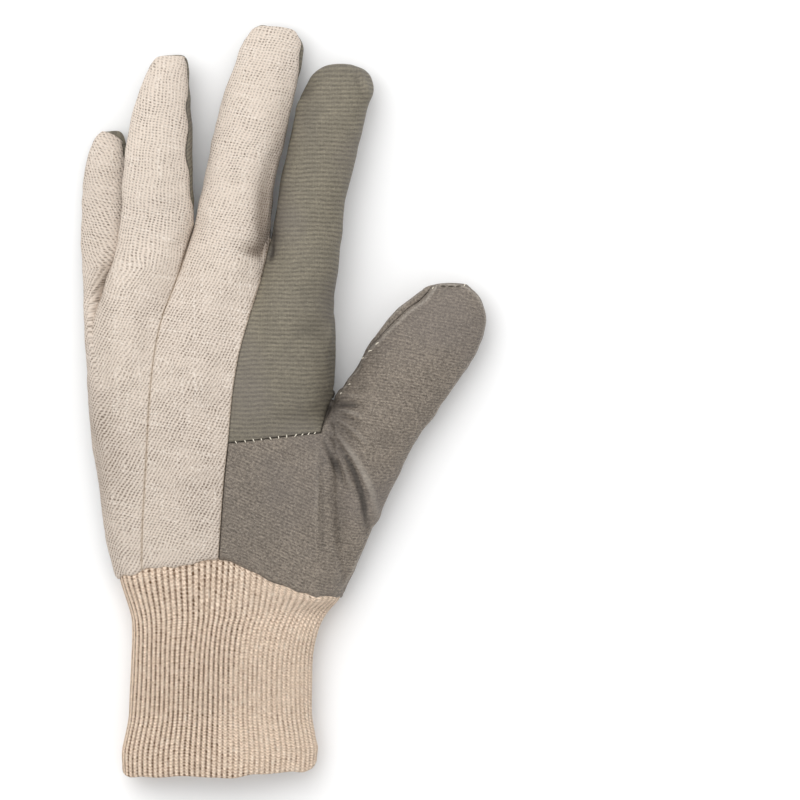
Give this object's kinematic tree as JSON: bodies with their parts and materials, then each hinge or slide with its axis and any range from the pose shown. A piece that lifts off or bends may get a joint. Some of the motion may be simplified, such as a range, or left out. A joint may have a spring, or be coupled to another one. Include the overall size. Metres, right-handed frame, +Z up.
{
  "type": "cotton work glove",
  "caption": "Left-hand cotton work glove with a ribbed coated palm, index finger and thumb and a knitted wrist, lying palm down, open at the wrist.",
  "frame": {"origin": "middle of the glove's footprint, on the surface it lies on", "axes": "+Y from the wrist to the fingertips, +X towards the thumb, +Z up from the palm to the back"},
  "size_m": [0.1458, 0.2688, 0.0345],
  "materials": {
    "cotton": "plain-woven unbleached cotton with slubs",
    "coated_cloth": "olive-grey cloth with a thin vinyl coat, fine cross ribs and a low sheen",
    "coated_cloth_brown": "brown-grey cloth with a thin vinyl coat, fine ribs and a low sheen",
    "rib_knit": "tan rib-knitted cotton"
  },
  "bodies": {
    "root": {"back_panel_outer": "cotton", "back_panel_middle": "cotton", "index_finger_wrap": "coated_cloth", "thumb_back_panel": "coated_cloth_brown", "thumb_front_panel": "coated_cloth_brown", "palm_panel": "coated_cloth", "knitted_wrist": "rib_knit"}
  },
  "joints": []
}
